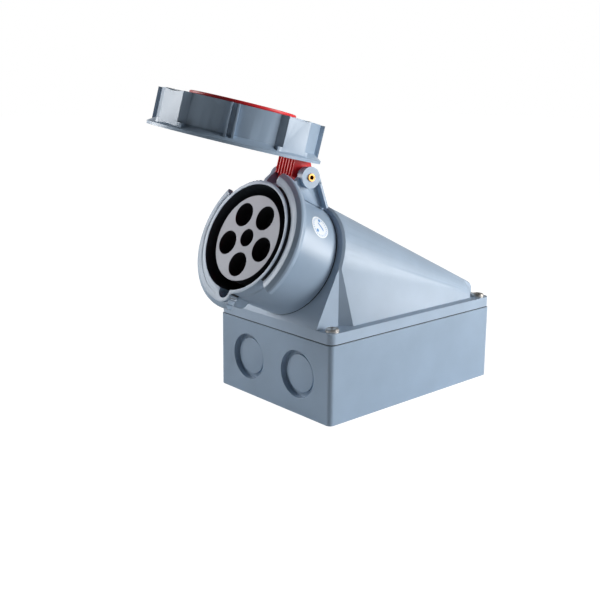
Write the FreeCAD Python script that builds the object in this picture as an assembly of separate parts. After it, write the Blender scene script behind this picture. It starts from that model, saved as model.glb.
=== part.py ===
import FreeCAD, Part
import math
import os

# Industrial wall socket, sizes in mm
# X runs across the box, Y along it away from the mouth, Z out of the wall

# Back box
box_width = 117.0
box_length = 167.5
box_height = 54.0
box_wall = 3.5
box_floor = 4.0
box_corner = 3.5
post_radius = 6.5
insert_half = 2.8
insert_length = 12.0
wall_hole_in_x = 18.5
wall_hole_in_y = 25.75
wall_hole_radius = 2.75
wall_pad_half = 6.0
wall_pad_rise = 3.0
knockout_x = 26.0
knockout_z = 27.8
knockout_radius = 16.5
knockout_depth = 4.5
knockout_skin = 1.5
knockout_rim = 3.0

# Hood on the box
flange_height = 8.0
flange_corner = 5.0
hood_foot_in = 6.6
hood_wall = 3.0
front_margin = 6.7
front_flat = 3.0
front_edge = 1.5
arch_rise = 2.7
back_rise = 10.2
back_round = 11.0
back_gap = 6.6
back_edge = 2.0
screw_in_x = 6.3
screw_in_y = 6.95
front_notch_step = 6.3
front_notch_in = 18.8
front_notch_lean = 4.0
front_notch_turn = 52.0
back_notch_step = 6.2
back_notch_in = 15.5
gasket_width = 2.2
gasket_height = 2.0
gasket_inset = 1.9

# Screws: cover, barrel and lid
head_radius = 4.7
head_height = 2.6
shank_radius = 2.0
shank_length = 17.0
fix_screw_radius = 1.5
fix_head_radius = 2.2
fix_head_height = 1.8
fix_screw_bite = 5.0
fix_screw_in = 4.1
fix_screw_angles = (30, 150, 270)
lid_screw_radius = 2.2
lid_head_radius = 4.0
lid_screw_bite = 2.5
hole_gap = 0.2

# Socket barrel, measured along its own axis from the contact face
tilt = 25.5
axis_rise = 2.7
barrel_out = 44.6
barrel_radius = 40.0
mouth_front = 2.85
mouth_wall = 3.3
mouth_step = 0.7
mouth_band = 7.0
barrel_gasket_wide = 2.2
barrel_gasket_thick = 0.8
bulkhead_thick = 7.2
keyway_half = 5.0
keyway_out = 2.5
keyway_wall = 2.8

# Bayonet segments on the mouth
segment_gap = 2.0
segment_reach = 8.7
segment_front = 1.5
segment_back = 4.0
segment_groove = 3.0
segment_ramp = 1.1
segment_ramp_height = 3.0
right_segment_from = -40.0
right_segment_to = 75.0
left_segment_from = 140.0
left_segment_to = 283.0
relief_deep = 30.0
relief_gap = 0.2
keyway_deep = 14.0

# Hinge on the barrel
hinge_rise = 11.7
hinge_back = 21.3
hinge_lean = 8.0
boss_radius = 7.2
ear_inner = 12.4
ear_outer = 15.4
boss_outer = 19.6
ear_front = 9.8
rib_thick = 1.8
rib_foot = 42.2
rib_foot_in = 0.6
rib_top_up = 0.7
pin_radius = 2.6
pin_bore = 1.5
pin_length = 41.0
pin_gap = 0.05
knuckle_radius = 6.6
knuckle_half = 11.0
knuckle_gap = 1.2

# Contact carrier and contacts
plug_gap = 6.9
carrier_gap = 0.15
carrier_flange_in = 7.0
carrier_flange_thick = 3.0
carrier_back = 62.0
carrier_seat = 1.5
face_thick = 10.0
contact_rim = 3.1
pilot_hole = 6.0
pilot_web = 4.3
phase_bore = 4.0
earth_bore = 5.0
pilot_bore = 2.5
sleeve_wall = 1.3
sleeve_front = 12.0
sleeve_deep = 50.0
terminal_room = 5.7
pilot_terminal_half = 4.0
terminal_back = 84.0
pilot_terminal_back = 76.0

# Hinged lid, drawn closed along the barrel axis
lid_open = 77.4
cover_lip = 2.2
cover_thick = 2.1
cover_edge = 0.8
plate_out = 0.4
plate_thick = 3.2
cup_wall = 5.2
cup_front = 4.6
seal_gap = 0.35
seal_in = 0.9
seal_wide = 4.0
seal_height = 3.4
arm_half = 10.2
arm_gap = 2.2
arm_thick = 6.0
arm_rib = 1.1
arm_rib_deep = 1.6
arm_ribs = 6
arm_shoulder = 3.4
arm_clear = 0.9

# Bayonet ring on the lid
ring_clear = 1.0
ring_wall = 2.1
ring_rim = 5.2
ring_lead = 1.9
ring_lead_height = 6.0
ring_back = 8.35
ring_edge = 1.9
ring_cone = 3.4
ring_top = 15.75
ring_web = 3.0
ring_bore_in = 7.2
ring_gap = 0.35
lobe_flat_out = 3.0
lobe_out = 4.1
lobe_half = 13.5
lobe_first = 11.0
lobe_count = 4
lobe_dip = 1.2
lobe_dip_radius = 40.0
rib_angle_half = 2.4
rib_width = 1.3
rib_out = 2.8
lug_in = 4.1
lug_half = 12.5
lug_thick = 3.3
lug_at = 121.5

# How far a cutting shape runs on past the face that it opens
past = 1.0

V = FreeCAD.Vector
X_AXIS = V(1, 0, 0)
Y_AXIS = V(0, 1, 0)
Z_AXIS = V(0, 0, 1)
CENTRE = V(0, 0, 0)

half_width, half_length = box_width / 2, box_length / 2
seam = box_height
flange_top = box_height + flange_height
slope = math.radians(tilt)
lean = math.radians(hinge_lean)
AXIS_OUT = V(0, -math.cos(slope), math.sin(slope))
AXIS_UP = V(0, math.sin(slope), math.cos(slope))
screw_x, screw_y = half_width - screw_in_x, half_length - screw_in_y
wall_hole_x, wall_hole_y = half_width - wall_hole_in_x, half_length - wall_hole_in_y
mouth_inner, mouth_outer = barrel_radius - mouth_wall, barrel_radius - mouth_step
segment_inner, segment_outer = barrel_radius + segment_gap, barrel_radius + segment_reach
fix_screw_pitch = barrel_radius - fix_screw_in
keyway_reach = barrel_radius + keyway_out
hinge_up = barrel_radius + hinge_rise
carrier_radius = mouth_inner - plug_gap
carrier_flange = barrel_radius - carrier_flange_in
carrier_hole = carrier_flange - carrier_seat
pitch_radius = (carrier_radius - contact_rim + pilot_hole + pilot_web) / 2
contact_hole = pitch_radius - pilot_hole - pilot_web
terminal_half = (pitch_radius - terminal_room) / 2
seal_inner = mouth_inner - seal_in
seal_outer = seal_inner + seal_wide
plate_radius = barrel_radius + plate_out
arm_inner = barrel_radius + arm_gap
arm_outer = arm_inner + arm_thick
ring_inner = segment_outer + ring_clear
ring_wall_radius = ring_inner + ring_wall
ring_rim_radius = ring_wall_radius + ring_rim
ring_bore = barrel_radius - ring_bore_in
cover_radius = ring_bore + cover_lip
lobe_flat, lobe_radius = ring_wall_radius + lobe_flat_out, ring_wall_radius + lobe_out
rib_radius = ring_wall_radius + rib_out
lug_inner = segment_outer - lug_in
axis_height = barrel_radius + axis_rise
front_half = barrel_radius + front_margin
hood_foot_half = half_width - hood_foot_in
hood_front_y, hood_back_y = -half_length, half_length - back_gap
hood_rise = axis_height + barrel_radius + arch_rise
hood_round = front_half - front_flat
side_lean = (hood_foot_half - front_half) / ((hood_rise - hood_round) * math.cos(slope))
mouth_centre = V(0, hood_front_y, flange_top) + AXIS_UP * axis_height + AXIS_OUT * barrel_out
barrel_place = FreeCAD.Placement(mouth_centre, FreeCAD.Rotation(X_AXIS, 90 - tilt))
barrel_back = barrel_out - barrel_gasket_thick
pin_place = FreeCAD.Placement(V(0, hinge_up, -hinge_back), FreeCAD.Rotation(Y_AXIS, 90 - hinge_lean))
pin_line = V(math.cos(lean), 0, math.sin(lean))


def polar(radius, degrees, height=0.0):
    angle = math.radians(degrees)
    return V(radius * math.cos(angle), radius * math.sin(angle), height)


def rod(radius, low, high, at=CENTRE):
    return Part.makeCylinder(radius, high - low, V(at.x, at.y, low))


def tube(outer, inner, low, high):
    return rod(outer, low, high).cut(rod(inner, low, high))


def block(low, high):
    size = high - low
    return Part.makeBox(size.x, size.y, size.z, low)


def square(half, low, high, at=CENTRE):
    return block(V(at.x - half, at.y - half, low), V(at.x + half, at.y + half, high))


def prism(points, run):
    """Push a flat outline along a straight run."""
    return Part.Face(Part.makePolygon(points + points[:1])).extrude(run)


def revolve(points):
    """Turn an outline of (radius, height) points round Z."""
    wire = Part.makePolygon([V(r, 0, z) for r, z in points + points[:1]])
    return Part.Face(wire).revolve(CENTRE, Z_AXIS, 360)


def sector(outer, low, high, start, end):
    """A pie slice round Z from one angle to another."""
    slice_ = Part.makeCylinder(outer, high - low, V(0, 0, low), Z_AXIS, end - start)
    slice_.rotate(CENTRE, Z_AXIS, start)
    return slice_


def rounded_plate(width, length, corner, low, high):
    """An upright block with four round corners."""
    half_x, half_y = width / 2 - corner, length / 2 - corner
    arcs = []
    for sx, sy, start in ((1, 1, 0), (-1, 1, 90), (-1, -1, 180), (1, -1, 270)):
        middle = V(sx * half_x, sy * half_y, low)
        arcs.append(Part.makeCircle(corner, middle, Z_AXIS, start, start + 90))
    lines = [Part.makeLine(a.Vertexes[-1].Point, b.Vertexes[0].Point)
             for a, b in zip(arcs, arcs[1:] + arcs[:1])]
    return Part.Face(Part.Wire(Part.__sortEdges__(arcs + lines))).extrude(V(0, 0, high - low))


def corner_points(x, y):
    return [V(sx * x, sy * y, 0) for sx in (1, -1) for sy in (1, -1)]


def placed(shape, place=barrel_place):
    shape = shape.copy()
    shape.Placement = place.multiply(shape.Placement)
    return shape


def pin_rod(radius, low, high):
    """A cylinder along the leaned hinge line, in the barrel's own frame."""
    return placed(rod(radius, low, high), pin_place)


def group(shapes):
    return Part.makeCompound(shapes)


def cap_screw(radius, head, height, length):
    """A round-headed screw that points down from Z zero."""
    return rod(head, 0, height).fuse(rod(radius, -length, 0))


def make_back_box():
    inner_width, inner_length = box_width - 2 * box_wall, box_length - 2 * box_wall
    outer = rounded_plate(box_width, box_length, box_corner, 0, seam)
    body = outer.cut(rounded_plate(inner_width, inner_length, box_corner, box_floor, seam + past))
    added = [rod(post_radius, box_floor / 2, seam, at) for at in corner_points(screw_x, screw_y)]
    cuts = [square(insert_half, seam - insert_length, seam + past, at)
            for at in corner_points(screw_x, screw_y)]
    for at in corner_points(wall_hole_x, wall_hole_y):
        added.append(square(wall_pad_half, box_floor / 2, box_floor + wall_pad_rise, at))
        cuts.append(rod(wall_hole_radius, -past, box_floor + wall_pad_rise + past, at))
    reach = knockout_radius + knockout_rim
    for side in (1, -1):
        wall = side * box_length / 2
        skin = wall - side * (knockout_depth + knockout_skin)
        added.append(block(V(-knockout_x - reach, min(wall, skin), knockout_z - reach),
                           V(knockout_x + reach, max(wall, skin), knockout_z + reach)))
        for x in (knockout_x, -knockout_x):
            start = V(x, wall + side * past, knockout_z)
            cuts.append(Part.makeCylinder(knockout_radius, knockout_depth + past, start, V(0, -side, 0)))
    return body.fuse([piece.common(outer) for piece in added]).cut(cuts).removeSplitter()


def make_corner_inserts():
    inserts = []
    for at in corner_points(screw_x, screw_y):
        piece = square(insert_half, seam - insert_length, seam, at)
        inserts.append(piece.cut(rod(shank_radius, seam - insert_length, seam, at)))
    return group(inserts)


def gasket_ring(low, high):
    width, length = box_width - 2 * gasket_inset, box_length - 2 * gasket_inset
    outer = rounded_plate(width + gasket_width, length + gasket_width, box_corner, low, high)
    return outer.cut(rounded_plate(width - gasket_width, length - gasket_width, box_corner / 2, low, high))


def hood_crown():
    """Height and place of the front crown line and the back crown line, and the fall between them."""
    front = V(0, hood_front_y, flange_top) + AXIS_UP * hood_rise
    back = V(0, hood_back_y, flange_top + back_rise)
    return front, back, (front.z - back.z) / (back.y - front.y)


def side_x(z):
    return hood_foot_half - side_lean * (z - flange_top)


def hood_ends(spread, drop):
    """Everything between the tilted front and the upright back."""
    low, high = -drop, 2 * hood_rise
    front = hood_front_y + spread / math.cos(slope)
    outline = [(front + low * math.tan(slope), low), (front + high * math.tan(slope), high),
               (hood_back_y - spread, high), (hood_back_y - spread, low)]
    return prism([V(-box_width, y, flange_top + z) for y, z in outline], V(2 * box_width, 0, 0))


def hood_sharp(spread, drop):
    """Everything between the leaning sides and under the sloping crown."""
    front, back, fall = hood_crown()
    inset = spread * math.hypot(1, side_lean)
    low, high = flange_top - drop, front.z + past
    sides = [(side_x(low) - inset, low), (side_x(high) - inset, high),
             (inset - side_x(high), high), (inset - side_x(low), low)]
    top = back.z - spread * math.hypot(1, fall)
    start = hood_front_y - box_length
    crown = [(start, low), (start, top + fall * (back.y - start)), (back.y, top), (back.y, low)]
    wedge = prism([V(x, -box_length, z) for x, z in sides], V(0, 2 * box_length, 0))
    return wedge.common(prism([V(-box_width, y, z) for y, z in crown], V(2 * box_width, 0, 0)))


def shoulder(spread):
    """Cone that touches side and crown, and the wedge of space between the two lines of touch."""
    front, back, fall = hood_crown()
    side_out = V(1, 0, side_lean).normalize()
    crown_out = V(0, fall, 1).normalize()
    front_flat_end = front + X_AXIS * front_flat
    back_flat_end = back + X_AXIS * (side_x(back.z) - back_round)
    front_reach = side_x(front.z) - front_flat
    apex = front_flat_end + (back_flat_end - front_flat_end) * (front_reach / (front_reach - back_round))
    on_crown = (front_flat_end - apex).normalize()
    half = math.atan(on_crown.dot(side_out) / (crown_out.dot(side_out) - 1))
    axis = on_crown * math.cos(half) - crown_out * math.sin(half)
    on_side = (axis + side_out * math.sin(half)).normalize()
    apex = apex + axis * (spread / math.sin(half))
    outward = on_crown + side_out + crown_out
    length = 2 * box_length
    ends = [apex + ray * length for ray in (on_crown, outward, on_side)]
    middle = apex + axis * length
    wedge = pyramid(apex, [middle, ends[0], ends[1]]).fuse(pyramid(apex, [middle, ends[1], ends[2]]))
    height = length * math.cos(2 * half)
    return Part.makeCone(0, height * math.tan(half), height, apex, axis), wedge


def pyramid(tip, base):
    faces = [Part.Face(Part.makePolygon(base + base[:1]))]
    for a, b in zip(base, base[1:] + base[:1]):
        faces.append(Part.Face(Part.makePolygon([tip, a, b, tip])))
    return Part.makeSolid(Part.makeShell(faces))


def mirrored(shape):
    return shape.mirror(CENTRE, X_AXIS)


def hood_form(spread=0.0, drop=0.0):
    """Hood block with planar sides, a sloping crown and conical shoulders, inset by the spread."""
    ends = hood_ends(spread, drop)
    cone, wedge = shoulder(spread)
    turned = cone.common(wedge).common(ends)
    body = hood_sharp(spread, drop).common(ends).cut([wedge, mirrored(wedge)])
    return body.fuse([turned, mirrored(turned)]).removeSplitter()


def notches(spread, low):
    """Corner pockets of the hood above the cover screws, both ends, both sides."""
    turn, sway = math.radians(front_notch_turn), math.radians(front_notch_lean)
    back_run = V(math.cos(turn), math.sin(turn), 0) * box_width
    front_run = V(-math.sin(sway), -math.cos(sway), 0) * box_width
    start = V(hood_foot_half - front_notch_step - spread, hood_front_y + front_notch_in + spread, low)
    front = [start, start + back_run, start + back_run + front_run, start + front_run]
    start = V(hood_foot_half - back_notch_step - spread, half_length - back_notch_in - spread, low)
    rear = [start, start + X_AXIS * box_width, start + (X_AXIS + Y_AXIS) * box_width,
            start + Y_AXIS * box_width]
    tools = []
    for outline in (front, rear):
        for mirror in (1, -1):
            points = [V(mirror * p.x, p.y, p.z) for p in outline]
            tools.append(prism(points, V(0, 0, 2 * box_length)))
    return tools


def eased(body, point, normal, size):
    """Take the sharp edge off round one end of the hood, all but its foot."""
    edges = []
    for edge in body.Edges:
        on_end = max(abs((v.Point - point).dot(normal)) for v in edge.Vertexes) < hole_gap
        if on_end and max(v.Point.z for v in edge.Vertexes) > flange_top + hole_gap:
            edges.append(edge)
    return body.makeChamfer(size, edges)


def make_hood():
    hollow = hood_form(hood_wall, past)
    inner_half = hood_foot_half - hood_wall
    opening = block(V(-inner_half, hood_front_y + hood_wall / math.cos(slope), seam - past),
                    V(inner_half, hood_back_y - hood_wall, flange_top))
    corners = notches(hood_wall, seam - past)
    body = rounded_plate(box_width, box_length, flange_corner, seam, flange_top)
    outer = eased(hood_form(), V(0, hood_front_y, flange_top), AXIS_OUT, front_edge)
    outer = eased(outer, V(0, hood_back_y, flange_top), Y_AXIS, back_edge)
    body = body.fuse(outer.cut(notches(0, flange_top)))
    cuts = [hollow.cut(corners), opening.cut(corners), gasket_ring(seam, seam + gasket_height),
            placed(rod(carrier_hole, -barrel_out - 2 * hood_wall, past - barrel_out))]
    for at in corner_points(screw_x, screw_y):
        cuts.append(rod(shank_radius + hole_gap, seam - past, flange_top + past, at))
    for angle in fix_screw_angles:
        at = polar(fix_screw_pitch, angle)
        hole = rod(fix_screw_radius + hole_gap, -barrel_out - 2 * hood_wall, past - barrel_out, at)
        cuts.append(placed(hole))
    return body.cut(cuts).removeSplitter()


def make_cover_screws():
    screws = []
    for at in corner_points(screw_x, screw_y):
        screw = cap_screw(shank_radius, head_radius, head_height, shank_length)
        screw.translate(V(at.x, at.y, flange_top))
        screws.append(screw)
    return group(screws)


def segment(start, end):
    """One bayonet segment with its groove open to the front."""
    ring = revolve([(segment_inner, -segment_back), (segment_outer, -segment_back),
                    (segment_outer, segment_front - segment_ramp_height),
                    (segment_outer - segment_ramp, segment_front), (segment_inner, segment_front)])
    floor = tube(segment_inner, mouth_inner, -segment_back, -segment_groove)
    return ring.fuse(floor).common(sector(segment_outer + past, -segment_back, segment_front, start, end))


def ear(side):
    """One hinge ear: web, rear rib and boss."""
    inner, outer, rim = side * ear_inner, side * ear_outer, side * boss_outer
    foot = barrel_radius - pin_radius
    lower = V(inner, barrel_radius - rib_foot_in, -rib_foot)
    upper = V(inner, hinge_up + rib_top_up, -hinge_back - boss_radius)
    outline = [lower, V(inner, foot, -rib_foot), V(inner, foot, -ear_front),
               V(inner, hinge_up - boss_radius, -ear_front),
               V(inner, hinge_up, boss_radius - hinge_back), upper]
    web = prism(outline, V(outer - inner, 0, 0))
    middle = V(min(inner, outer), hinge_up, -hinge_back)
    head = Part.makeCylinder(boss_radius, ear_outer - ear_inner, middle, X_AXIS)
    run = (upper - lower).normalize()
    across = V(0, -run.z, run.y) * rib_thick
    rib = prism([lower, upper, upper + across, lower + across], V(rim - inner, 0, 0))
    return web.fuse([head, rib, pin_rod(boss_radius, min(inner, rim), max(inner, rim))])


def make_barrel():
    band_back = mouth_front - mouth_band
    flange_front = carrier_flange_thick - barrel_out
    bulkhead = bulkhead_thick - barrel_back
    body = revolve([(mouth_inner, mouth_front), (mouth_outer, mouth_front), (mouth_outer, band_back),
                    (barrel_radius, band_back - past), (barrel_radius, -barrel_back),
                    (carrier_flange + carrier_gap, -barrel_back),
                    (carrier_flange + carrier_gap, flange_front),
                    (carrier_radius + carrier_gap, flange_front), (carrier_radius + carrier_gap, bulkhead),
                    (mouth_inner, bulkhead)])
    low, reach, key_outer = -keyway_deep, keyway_reach - keyway_half, keyway_half + keyway_wall
    bulge = rod(key_outer, low, mouth_front, V(0, -reach, 0)).fuse(
        block(V(-key_outer, -reach, low), V(key_outer, -mouth_inner, mouth_front)))
    groove = rod(keyway_half, low + keyway_wall, mouth_front + past, V(0, -reach, 0)).fuse(
        block(V(-keyway_half, -reach, low + keyway_wall), V(keyway_half, 0, mouth_front + past)))
    body = body.fuse([segment(right_segment_from, right_segment_to),
                      segment(left_segment_from, left_segment_to), bulge, ear(1), ear(-1)])
    swing = pin_rod(knuckle_radius + knuckle_gap, -2 * ear_inner, 2 * ear_inner)
    relief = block(V(-ear_inner, barrel_radius + relief_gap, -relief_deep), V(ear_inner, 2 * hinge_up, 0))
    cuts = [pin_rod(pin_radius, -pin_length, pin_length), groove, swing.common(relief),
            rod(mouth_inner, bulkhead, mouth_front + past)]
    for angle in fix_screw_angles:
        at = polar(fix_screw_pitch, angle)
        cuts.append(rod(fix_screw_radius, -barrel_out, fix_screw_bite - barrel_back, at))
    return body.cut(cuts).removeSplitter()


def make_contact(bore, half, back, at):
    """A contact sleeve with its square terminal, drawn along the barrel axis."""
    body = rod(bore + sleeve_wall, -carrier_back, -sleeve_front, at)
    body = body.fuse(square(half, -back, -carrier_back, at))
    return body.cut(rod(bore, -sleeve_deep, past - sleeve_front, at))


def contact_list():
    """Name, bore, face hole, terminal half width, back end and place of each contact."""
    angles = {"earth_contact": -90, "neutral_contact": 198, "phase_contact_1": -18,
              "phase_contact_2": 54, "phase_contact_3": 126}
    rows = []
    for name, angle in angles.items():
        bore = earth_bore if name.startswith("earth") else phase_bore
        rows.append((name, bore, contact_hole, terminal_half, terminal_back, polar(pitch_radius, angle)))
    rows.append(("pilot_contact", pilot_bore, pilot_hole, pilot_terminal_half, pilot_terminal_back, CENTRE))
    return rows


def make_carrier():
    body = rod(carrier_radius, -carrier_back, -face_thick)
    body = body.fuse(rod(carrier_flange, -barrel_out, carrier_flange_thick - barrel_out))
    return body.cut([rod(bore + sleeve_wall, -carrier_back - past, past - face_thick, at)
                     for _, bore, _, _, _, at in contact_list()])


def make_face():
    return rod(carrier_radius, -face_thick, 0).cut(
        [rod(hole, -face_thick - past, past, at) for _, _, hole, _, _, at in contact_list()])


def make_barrel_gasket():
    return tube(barrel_radius, barrel_radius - barrel_gasket_wide, -barrel_out, -barrel_back)


def make_barrel_screws():
    """Screws driven from inside the hood into the back of the barrel."""
    grip = hood_wall + barrel_gasket_thick
    screws = []
    for angle in fix_screw_angles:
        screw = cap_screw(fix_screw_radius, fix_head_radius, fix_head_height, grip + fix_screw_bite)
        screw.rotate(CENTRE, X_AXIS, 180)
        screw.translate(polar(fix_screw_pitch, angle, -barrel_out - hood_wall))
        screws.append(screw)
    return group(screws)


def make_pin():
    return pin_rod(pin_radius, -pin_length / 2, pin_length / 2).cut(
        pin_rod(pin_bore, -pin_length / 2 - past, pin_length / 2 + past))


def make_lid_body():
    """Red underside of the lid with its arm and knuckle, drawn closed."""
    top = ring_top - ring_web - ring_gap
    low = top - plate_thick
    cup = revolve([(0, low), (plate_radius - cup_wall, low), (plate_radius - cup_wall, cup_front),
                   (plate_radius, cup_front), (plate_radius, top), (0, top)])
    groove = tube(seal_outer, seal_inner, cup_front - past, mouth_front + seal_gap + seal_height)
    rim = -ring_back - arm_clear
    outline = [(arm_inner, -hinge_back), (arm_inner, cup_front), (plate_radius - cup_wall, low),
               (plate_radius - cup_wall, top), (arm_outer, top), (arm_outer, rim),
               (hinge_up + arm_shoulder, rim), (hinge_up + knuckle_radius, rim - 2 * arm_shoulder),
               (hinge_up + knuckle_radius, -hinge_back)]
    arm = prism([V(-arm_half, y, z) for y, z in outline], V(2 * arm_half, 0, 0))
    body = cup.fuse([arm, pin_rod(knuckle_radius, -knuckle_half, knuckle_half)])
    cuts = [groove, pin_rod(pin_radius + pin_gap, -2 * knuckle_half, 2 * knuckle_half),
            rod(lid_screw_radius, low - past, top + past)]
    step = 2 * arm_half / arm_ribs
    for index in range(arm_ribs):
        start = -arm_half + index * step + arm_rib / 2
        cuts.append(block(V(start, arm_inner - past, -hinge_back + knuckle_radius),
                          V(start + step - arm_rib, arm_inner + arm_rib_deep, cup_front)))
    return body.cut(cuts).removeSplitter()


def make_lid_cover():
    """Red disc on top with the neck that the ring turns round."""
    low = ring_top - ring_web - ring_gap
    disc_low = ring_top + ring_gap
    disc_top = disc_low + cover_thick
    body = revolve([(0, low), (ring_bore - ring_gap, low), (ring_bore - ring_gap, disc_low),
                    (cover_radius, disc_low), (cover_radius, disc_top - cover_edge),
                    (cover_radius - cover_edge, disc_top), (0, disc_top)])
    return body.cut(rod(lid_screw_radius, low - past, low + lid_screw_bite))


def make_lid_screw():
    screw = cap_screw(lid_screw_radius, lid_head_radius, fix_head_height, plate_thick + lid_screw_bite)
    screw.rotate(CENTRE, X_AXIS, 180)
    screw.translate(V(0, 0, ring_top - ring_web - ring_gap - plate_thick))
    return screw


def make_lid_seal():
    low = mouth_front + seal_gap
    middle = (seal_inner + seal_outer) / 2
    return revolve([(seal_inner, low + seal_height), (middle, low), (seal_outer, low + seal_height)])


def make_ring():
    """Grey bayonet ring: cone rim, wall, lobes, double ribs and two lugs."""
    back = -ring_back
    rim_top = back + ring_edge
    body = revolve([(ring_inner + ring_lead, back), (ring_rim_radius, back), (ring_rim_radius, rim_top),
                    (ring_wall_radius, rim_top + ring_cone), (ring_wall_radius, ring_top),
                    (ring_bore, ring_top), (ring_bore, ring_top - ring_web),
                    (ring_inner, ring_top - ring_web), (ring_inner, back + ring_lead_height)])
    cone = revolve([(0, rim_top), (ring_rim_radius, rim_top), (rib_radius, ring_top), (0, ring_top)])
    spread = 360 / lobe_count
    added = []
    for index in range(lobe_count):
        angle = lobe_first + index * spread
        lobe = sector(lobe_radius, rim_top, ring_top, -lobe_half, lobe_half)
        lobe = lobe.common(block(V(0, -lobe_radius, back), V(lobe_flat, lobe_radius, ring_top)))
        dip_middle = V(ring_wall_radius, 0, ring_top + lobe_dip_radius - lobe_dip)
        lobe = lobe.cut(Part.makeCylinder(lobe_dip_radius, lobe_radius, dip_middle, X_AXIS))
        lobe.rotate(CENTRE, Z_AXIS, angle)
        added.append(lobe)
        for side in (1, -1):
            rib = block(V(ring_wall_radius - past, -rib_width / 2, rim_top),
                        V(rib_radius, rib_width / 2, ring_top))
            rib.rotate(CENTRE, Z_AXIS, angle + spread / 2 + side * rib_angle_half)
            added.append(rib.common(cone))
    body = body.fuse(added).cut([rod(ring_inner, back - past, ring_top - ring_web),
                                 rod(ring_bore, back - past, ring_top + past)])
    lug_outer = ring_inner + ring_lead + ring_edge / 2
    lug = tube(lug_outer, lug_inner, back, back + lug_thick).common(
        sector(lug_outer + past, back, back + lug_thick, lug_at - lug_half, lug_at + lug_half))
    for turn in (0, 180):
        turned = lug.copy()
        turned.rotate(CENTRE, Z_AXIS, turn)
        body = body.fuse(turned)
    return body.removeSplitter()


def opened(shape):
    """Carry a closed lid piece to the pose of the photo and into place."""
    shape = shape.copy()
    shape.rotate(V(0, hinge_up, -hinge_back), pin_line, -lid_open)
    return placed(shape)


def parts():
    shapes = {
        "back_box": make_back_box(),
        "corner_inserts": make_corner_inserts(),
        "box_gasket": gasket_ring(seam, seam + gasket_height),
        "hood": make_hood(),
        "cover_screws": make_cover_screws(),
        "barrel": placed(make_barrel()),
        "barrel_gasket": placed(make_barrel_gasket()),
        "barrel_screws": placed(make_barrel_screws()),
        "contact_carrier": placed(make_carrier()),
        "contact_face": placed(make_face()),
        "hinge_pin": placed(make_pin()),
        "lid_body": opened(make_lid_body()),
        "lid_cover": opened(make_lid_cover()),
        "lid_screw": opened(make_lid_screw()),
        "lid_seal": opened(make_lid_seal()),
        "bayonet_ring": opened(make_ring()),
    }
    for name, bore, _, half, back, at in contact_list():
        shapes[name] = placed(make_contact(bore, half, back, at))
    return shapes


def main():
    os.makedirs("parts", exist_ok=True)
    for name, shape in parts().items():
        shape.exportStep("parts/" + name + ".step")


if __name__ == "__main__":
    main()
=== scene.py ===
"""Industrial wall socket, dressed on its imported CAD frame.

Every length is in metres, in the frame of the CAD model: X across the box, Y away
from the mouth, Z out of the wall.
"""

import logging
import math
from dataclasses import dataclass, field
from enum import Enum
from typing import Sequence

import bmesh
import bpy
from bmesh.types import BMesh
from bpy.types import Material, Object
from mathutils import Matrix, Vector

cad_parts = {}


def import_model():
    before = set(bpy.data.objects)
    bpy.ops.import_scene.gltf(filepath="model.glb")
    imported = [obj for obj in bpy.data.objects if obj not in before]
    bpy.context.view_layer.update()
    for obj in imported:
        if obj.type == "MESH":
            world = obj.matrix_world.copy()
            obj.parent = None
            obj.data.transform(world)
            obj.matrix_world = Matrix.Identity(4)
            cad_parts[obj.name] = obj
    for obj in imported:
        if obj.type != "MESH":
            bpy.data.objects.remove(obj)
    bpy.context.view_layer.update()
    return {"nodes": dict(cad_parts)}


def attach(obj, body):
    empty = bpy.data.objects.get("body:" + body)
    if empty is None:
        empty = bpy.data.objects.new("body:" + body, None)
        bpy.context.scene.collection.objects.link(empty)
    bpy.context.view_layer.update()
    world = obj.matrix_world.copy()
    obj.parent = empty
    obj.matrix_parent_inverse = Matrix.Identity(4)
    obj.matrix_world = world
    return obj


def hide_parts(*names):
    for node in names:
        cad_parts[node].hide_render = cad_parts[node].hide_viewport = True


LOG = logging.getLogger("socket")
MM = 0.001
Colour = tuple[float, float, float]

# Corners closer than this are one, and facets that meet flatter than this are one face
MERGE = 0.00001
FLAT = math.radians(0.4)

# An edge that turns by more than this is a real edge, which is rounded or stays crisp
SHARP = math.radians(32.0)

# Slack for telling on which side of a height a corner lies
SLACK = 0.0001

# Half the box, and the height of the seam between box and hood
HALF_WIDTH = 0.0585
HALF_LENGTH = 0.08375
SEAM = 0.054

# The barrel's frame: Z out of the mouth, Y up its front
MOUTH = Vector((0.0, -0.1056225, 0.1197412))
TILT = math.radians(25.5)
BARREL = Matrix.Translation(MOUTH) @ Matrix.Rotation(math.pi / 2 - TILT, 4, "X")

# The hinge line in the barrel's frame, and the angle at which the lid stands open
HINGE = Vector((0.0, 0.0517, -0.0213))
HINGE_LEAN = math.radians(8.0)
LID_OPEN = math.radians(77.4)
HINGE_LINE = Vector((math.cos(HINGE_LEAN), 0.0, math.sin(HINGE_LEAN)))
LID = (BARREL @ Matrix.Translation(HINGE) @ Matrix.Rotation(-LID_OPEN, 4, HINGE_LINE)
       @ Matrix.Translation(-HINGE))


class Slot(Enum):
    """The record's material slots."""

    GREY = "grey_plastic"
    BLACK = "black_plastic"
    FACE = "face_plastic"
    RED = "red_plastic"
    RUBBER = "rubber"
    BRASS = "brass"
    STEEL = "steel"


class Body(Enum):
    """The bodies that pieces ride on."""

    BASE = "base"
    LID = "lid"
    RING = "ring"


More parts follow.
